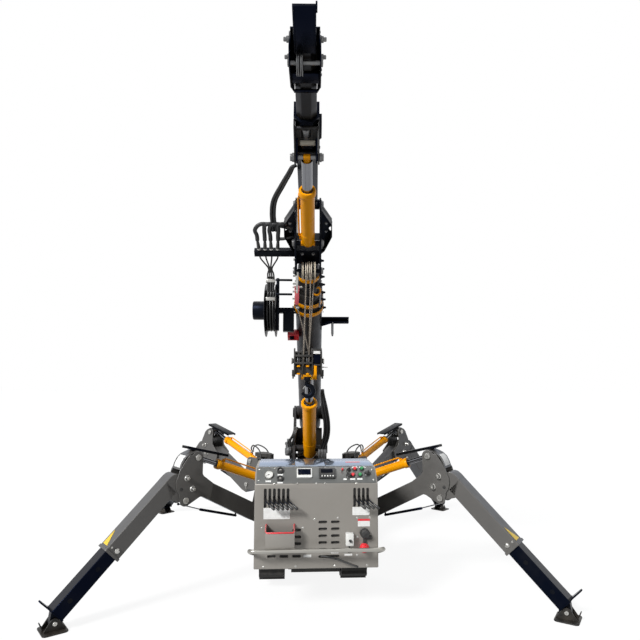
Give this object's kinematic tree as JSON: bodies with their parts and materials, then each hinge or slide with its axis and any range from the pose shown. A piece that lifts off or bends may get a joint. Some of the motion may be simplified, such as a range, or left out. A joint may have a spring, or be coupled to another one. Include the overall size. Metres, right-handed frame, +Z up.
{
  "type": "spider_crane",
  "caption": "Compact spider crane on rubber tracks, four spread outrigger legs, raised telescopic boom with jib, hook block and control console",
  "frame": {"origin": "on the ground below the middle of the bounding box", "axes": "+Z up; the console and the boom's tip face -Y; +X is the console's right side as seen from behind it"},
  "size_m": [3.5, 4.5888, 3.1888],
  "materials": {
    "black_paint": "black, gloss",
    "chrome": "polished",
    "console_paint": "warm light grey, satin",
    "dark_paint": "dark grey, satin",
    "grey_paint": "metallic mid grey, satin",
    "orange_paint": "orange yellow, gloss",
    "rubber": "matt black",
    "sheave_nylon": "cream nylon",
    "steel": "bare steel"
  },
  "bodies": {
    "carrier": {"chassis_frame": "dark_paint", "track_left": "rubber", "track_right": "rubber", "console_housing": "console_paint", "battery_tray": "console_paint", "battery": "black_paint", "handle_bar": "steel", "engine_cover": "dark_paint"},
    "leg_swing_front_left": {"post_front_left": "grey_paint"},
    "leg_arm_front_left": {"inner_arm_front_left": "grey_paint"},
    "leg_outer_front_left": {"outer_leg_front_left": "grey_paint"},
    "leg_slider_front_left": {"slider_front_left": "black_paint"},
    "leg_foot_front_left": {"foot_front_left": "black_paint"},
    "leg_ram_front_left": {"ram_barrel_front_left": "orange_paint"},
    "leg_rod_front_left": {"ram_rod_front_left": "chrome"},
    "leg_swing_front_right": {"post_front_right": "grey_paint"},
    "leg_arm_front_right": {"inner_arm_front_right": "grey_paint"},
    "leg_outer_front_right": {"outer_leg_front_right": "grey_paint"},
    "leg_slider_front_right": {"slider_front_right": "black_paint"},
    "leg_foot_front_right": {"foot_front_right": "black_paint"},
    "leg_ram_front_right": {"ram_barrel_front_right": "orange_paint"},
    "leg_rod_front_right": {"ram_rod_front_right": "chrome"},
    "leg_swing_rear_left": {"post_rear_left": "grey_paint"},
    "leg_arm_rear_left": {"inner_arm_rear_left": "grey_paint"},
    "leg_outer_rear_left": {"outer_leg_rear_left": "grey_paint"},
    "leg_slider_rear_left": {"slider_rear_left": "black_paint"},
    "leg_foot_rear_left": {"foot_rear_left": "black_paint"},
    "leg_ram_rear_left": {"ram_barrel_rear_left": "orange_paint"},
    "leg_rod_rear_left": {"ram_rod_rear_left": "chrome"},
    "leg_swing_rear_right": {"post_rear_right": "grey_paint"},
    "leg_arm_rear_right": {"inner_arm_rear_right": "grey_paint"},
    "leg_outer_rear_right": {"outer_leg_rear_right": "grey_paint"},
    "leg_slider_rear_right": {"slider_rear_right": "black_paint"},
    "leg_foot_rear_right": {"foot_rear_right": "black_paint"},
    "leg_ram_rear_right": {"ram_barrel_rear_right": "orange_paint"},
    "leg_rod_rear_right": {"ram_rod_rear_right": "chrome"},
    "superstructure": {"column": "dark_paint"},
    "boom": {"boom_base": "dark_paint"},
    "luff_cylinder": {"luff_barrel": "orange_paint"},
    "luff_plunger": {"luff_rod": "chrome"},
    "section_2": {"boom_section_2": "dark_paint"},
    "section_3": {"boom_section_3": "dark_paint"},
    "section_4": {"boom_section_4": "dark_paint"},
    "section_5": {"boom_section_5": "dark_paint"},
    "section_6": {"boom_section_6": "dark_paint"},
    "section_7": {"boom_head": "black_paint"},
    "sheaves": {"head_sheaves": "sheave_nylon"},
    "jib": {"jib_base": "black_paint"},
    "jib_slider": {"jib_extension": "black_paint"},
    "jib_cylinder": {"jib_barrel": "orange_paint"},
    "jib_plunger": {"jib_rod": "chrome"},
    "hook_tackle": {"hook_block": "steel", "hoist_rope": "steel"},
    "hook_body": {"hook": "steel"},
    "winch": {"winch_drum": "steel"},
    "reel": {"hose_reel": "black_paint"}
  },
  "joints": [
    {"name": "swing_front_left", "type": "hinge", "parent": "carrier", "child": "leg_swing_front_left", "pos_m": [-0.291, 0.081, 0], "axis": [0, 0, 1], "range_deg": [-35, 15]},
    {"name": "raise_front_left", "type": "hinge", "parent": "leg_swing_front_left", "child": "leg_arm_front_left", "pos_m": [-0.39736, 0.00625, 0.505], "axis": [-0.575, 0.8181, 0], "range_deg": [-10, 40]},
    {"name": "fold_front_left", "type": "hinge", "parent": "leg_arm_front_left", "child": "leg_outer_front_left", "pos_m": [-0.94307, -0.37728, 0.674], "axis": [0.575, -0.8181, 0], "range_deg": [0, 75]},
    {"name": "extend_front_left", "type": "slide", "parent": "leg_outer_front_left", "child": "leg_slider_front_left", "axis": [0.5865, 0.4122, 0.6972], "range_m": [-0.15, 0.3]},
    {"name": "foot_tilt_front_left", "type": "hinge", "parent": "leg_slider_front_left", "child": "leg_foot_front_left", "pos_m": [-1.60495, -0.84246, 0.052], "axis": [0.575, -0.8181, 0], "range_deg": [-18, 18]},
    {"name": "ram_tilt_front_left", "type": "hinge", "parent": "leg_swing_front_left", "child": "leg_ram_front_left", "pos_m": [-0.36054, 0.03213, 0.728], "axis": [-0.575, 0.8181, 0], "range_deg": [-14, 50]},
    {"name": "ram_stroke_front_left", "type": "slide", "parent": "leg_ram_front_left", "child": "leg_rod_front_left", "axis": [0.7663, 0.5386, -0.3503], "range_m": [-0.05, 0.15]},
    {"name": "swing_front_right", "type": "hinge", "parent": "carrier", "child": "leg_swing_front_right", "pos_m": [0.291, 0.081, 0], "axis": [0, 0, -1], "range_deg": [-35, 15]},
    {"name": "raise_front_right", "type": "hinge", "parent": "leg_swing_front_right", "child": "leg_arm_front_right", "pos_m": [0.39736, 0.00625, 0.505], "axis": [-0.575, -0.8181, 0], "range_deg": [-10, 40]},
    {"name": "fold_front_right", "type": "hinge", "parent": "leg_arm_front_right", "child": "leg_outer_front_right", "pos_m": [0.94307, -0.37728, 0.674], "axis": [0.575, 0.8181, 0], "range_deg": [0, 75]},
    {"name": "extend_front_right", "type": "slide", "parent": "leg_outer_front_right", "child": "leg_slider_front_right", "axis": [-0.5865, 0.4122, 0.6972], "range_m": [-0.15, 0.3]},
    {"name": "foot_tilt_front_right", "type": "hinge", "parent": "leg_slider_front_right", "child": "leg_foot_front_right", "pos_m": [1.60495, -0.84246, 0.052], "axis": [0.575, 0.8181, 0], "range_deg": [-18, 18]},
    {"name": "ram_tilt_front_right", "type": "hinge", "parent": "leg_swing_front_right", "child": "leg_ram_front_right", "pos_m": [0.36054, 0.03213, 0.728], "axis": [-0.575, -0.8181, 0], "range_deg": [-14, 50]},
    {"name": "ram_stroke_front_right", "type": "slide", "parent": "leg_ram_front_right", "child": "leg_rod_front_right", "axis": [-0.7663, 0.5386, -0.3503], "range_m": [-0.05, 0.15]},
    {"name": "swing_rear_left", "type": "hinge", "parent": "carrier", "child": "leg_swing_rear_left", "pos_m": [-0.447, 1.014, 0], "axis": [0, 0, -1], "range_deg": [-35, 45]},
    {"name": "raise_rear_left", "type": "hinge", "parent": "leg_swing_rear_left", "child": "leg_arm_rear_left", "pos_m": [-0.53924, 1.1056, 0.505], "axis": [0.7046, 0.7096, 0], "range_deg": [-10, 40]},
    {"name": "fold_rear_left", "type": "hinge", "parent": "leg_arm_rear_left", "child": "leg_outer_rear_left", "pos_m": [-1.01253, 1.57559, 0.674], "axis": [-0.7046, -0.7096, 0], "range_deg": [0, 75]},
    {"name": "extend_rear_left", "type": "slide", "parent": "leg_outer_rear_left", "child": "leg_slider_rear_left", "axis": [0.5087, -0.5052, 0.6972], "range_m": [-0.15, 0.3]},
    {"name": "foot_tilt_rear_left", "type": "hinge", "parent": "leg_slider_rear_left", "child": "leg_foot_rear_left", "pos_m": [-1.58657, 2.14564, 0.052], "axis": [-0.7046, -0.7096, 0], "range_deg": [-18, 18]},
    {"name": "ram_tilt_rear_left", "type": "hinge", "parent": "leg_swing_rear_left", "child": "leg_ram_rear_left", "pos_m": [-0.50731, 1.07389, 0.728], "axis": [0.7046, 0.7096, 0], "range_deg": [-14, 50]},
    {"name": "ram_stroke_rear_left", "type": "slide", "parent": "leg_ram_rear_left", "child": "leg_rod_rear_left", "axis": [0.6646, -0.66, -0.3503], "range_m": [-0.05, 0.15]},
    {"name": "swing_rear_right", "type": "hinge", "parent": "carrier", "child": "leg_swing_rear_right", "pos_m": [0.447, 1.014, 0], "axis": [0, 0, 1], "range_deg": [-35, 45]},
    {"name": "raise_rear_right", "type": "hinge", "parent": "leg_swing_rear_right", "child": "leg_arm_rear_right", "pos_m": [0.53924, 1.1056, 0.505], "axis": [0.7046, -0.7096, 0], "range_deg": [-10, 40]},
    {"name": "fold_rear_right", "type": "hinge", "parent": "leg_arm_rear_right", "child": "leg_outer_rear_right", "pos_m": [1.01253, 1.57559, 0.674], "axis": [-0.7046, 0.7096, 0], "range_deg": [0, 75]},
    {"name": "extend_rear_right", "type": "slide", "parent": "leg_outer_rear_right", "child": "leg_slider_rear_right", "axis": [-0.5087, -0.5052, 0.6972], "range_m": [-0.15, 0.3]},
    {"name": "foot_tilt_rear_right", "type": "hinge", "parent": "leg_slider_rear_right", "child": "leg_foot_rear_right", "pos_m": [1.58657, 2.14564, 0.052], "axis": [-0.7046, 0.7096, 0], "range_deg": [-18, 18]},
    {"name": "ram_tilt_rear_right", "type": "hinge", "parent": "leg_swing_rear_right", "child": "leg_ram_rear_right", "pos_m": [0.50731, 1.07389, 0.728], "axis": [0.7046, -0.7096, 0], "range_deg": [-14, 50]},
    {"name": "ram_stroke_rear_right", "type": "slide", "parent": "leg_ram_rear_right", "child": "leg_rod_rear_right", "axis": [-0.6646, -0.66, -0.3503], "range_m": [-0.05, 0.15]},
    {"name": "slew", "type": "hinge", "parent": "carrier", "child": "superstructure", "pos_m": [0, 0.548, 0], "axis": [0, 0, 1], "continuous": true},
    {"name": "boom_raise", "type": "hinge", "parent": "superstructure", "child": "boom", "pos_m": [0.01384, 0.85269, 1.2], "axis": [-0.999, 0.0454, 0], "range_deg": [-37.5, 37.5]},
    {"name": "luff_ram_tilt", "type": "hinge", "parent": "superstructure", "child": "luff_cylinder", "pos_m": [0.00249, 0.60294, 0.9], "axis": [-0.999, 0.0454, 0], "range_deg": [-37, 37]},
    {"name": "luff_ram_stroke", "type": "slide", "parent": "luff_cylinder", "child": "luff_plunger", "axis": [-0.0309, -0.6795, 0.733], "range_m": [-0.26, 0.26]},
    {"name": "telescope_2", "type": "slide", "parent": "boom", "child": "section_2", "axis": [-0.036, -0.7925, 0.6088], "range_m": [0, 1]},
    {"name": "telescope_3", "type": "slide", "parent": "section_2", "child": "section_3", "axis": [-0.036, -0.7925, 0.6088], "range_m": [0, 1]},
    {"name": "telescope_4", "type": "slide", "parent": "section_3", "child": "section_4", "axis": [-0.036, -0.7925, 0.6088], "range_m": [0, 1]},
    {"name": "telescope_5", "type": "slide", "parent": "section_4", "child": "section_5", "axis": [-0.036, -0.7925, 0.6088], "range_m": [0, 1]},
    {"name": "telescope_6", "type": "slide", "parent": "section_5", "child": "section_6", "axis": [-0.036, -0.7925, 0.6088], "range_m": [0, 1]},
    {"name": "telescope_7", "type": "slide", "parent": "section_6", "child": "section_7", "axis": [-0.036, -0.7925, 0.6088], "range_m": [0, 1]},
    {"name": "head_sheave_spin", "type": "hinge", "parent": "section_7", "child": "sheaves", "pos_m": [-0.06018, -0.77725, 2.24401], "axis": [0.999, -0.0454, 0], "continuous": true},
    {"name": "jib_raise", "type": "hinge", "parent": "section_7", "child": "jib", "pos_m": [-0.05926, -0.75711, 2.71381], "axis": [-0.999, 0.0454, 0], "range_deg": [-25, 40]},
    {"name": "jib_extend", "type": "slide", "parent": "jib", "child": "jib_slider", "axis": [-0.0438, -0.9649, 0.2588], "range_m": [0, 0.45]},
    {"name": "jib_ram_tilt", "type": "hinge", "parent": "section_7", "child": "jib_cylinder", "pos_m": [-0.06522, -0.88831, 2.41124], "axis": [-0.999, 0.0454, 0], "range_deg": [-23, 36]},
    {"name": "jib_ram_stroke", "type": "slide", "parent": "jib_cylinder", "child": "jib_plunger", "axis": [-0.0386, -0.8508, 0.524], "range_m": [-0.15, 0.23]},
    {"name": "hook_swing", "type": "hinge", "parent": "section_7", "child": "hook_tackle", "pos_m": [-0.06018, -0.77725, 2.24401], "axis": [0.999, -0.0454, 0], "range_deg": [-37.5, 37.5]},
    {"name": "hook_swivel", "type": "hinge", "parent": "hook_tackle", "child": "hook_body", "pos_m": [-0.06018, -0.77725, 1.53401], "axis": [0, 0, 1], "continuous": true},
    {"name": "winch_spin", "type": "hinge", "parent": "superstructure", "child": "winch", "pos_m": [0.01406, 0.85768, 0.8], "axis": [0.999, -0.0454, 0], "continuous": true},
    {"name": "reel_spin", "type": "hinge", "parent": "boom", "child": "reel", "pos_m": [-0.28376, -0.29993, 2.03086], "axis": [0.999, -0.0454, 0], "continuous": true}
  ],
  "couplings": [
    {"joint": "ram_tilt_front_left", "follows": "raise_front_left", "ratio": 1.16},
    {"joint": "ram_stroke_front_left", "follows": "raise_front_left", "m_per_rad": 0.19},
    {"joint": "ram_tilt_front_right", "follows": "raise_front_right", "ratio": 1.16},
    {"joint": "ram_stroke_front_right", "follows": "raise_front_right", "m_per_rad": 0.19},
    {"joint": "ram_tilt_rear_left", "follows": "raise_rear_left", "ratio": 1.16},
    {"joint": "ram_stroke_rear_left", "follows": "raise_rear_left", "m_per_rad": 0.19},
    {"joint": "ram_tilt_rear_right", "follows": "raise_rear_right", "ratio": 1.16},
    {"joint": "ram_stroke_rear_right", "follows": "raise_rear_right", "m_per_rad": 0.19},
    {"joint": "luff_ram_tilt", "follows": "boom_raise", "ratio": 0.95},
    {"joint": "luff_ram_stroke", "follows": "boom_raise", "m_per_rad": 0.36},
    {"joint": "telescope_3", "follows": "telescope_2", "ratio": 1},
    {"joint": "telescope_4", "follows": "telescope_2", "ratio": 1},
    {"joint": "telescope_5", "follows": "telescope_2", "ratio": 1},
    {"joint": "telescope_6", "follows": "telescope_2", "ratio": 1},
    {"joint": "telescope_7", "follows": "telescope_2", "ratio": 1},
    {"joint": "jib_ram_tilt", "follows": "jib_raise", "ratio": 0.88},
    {"joint": "jib_ram_stroke", "follows": "jib_raise", "m_per_rad": 0.31},
    {"joint": "hook_swing", "follows": "boom_raise", "ratio": 1}
  ]
}
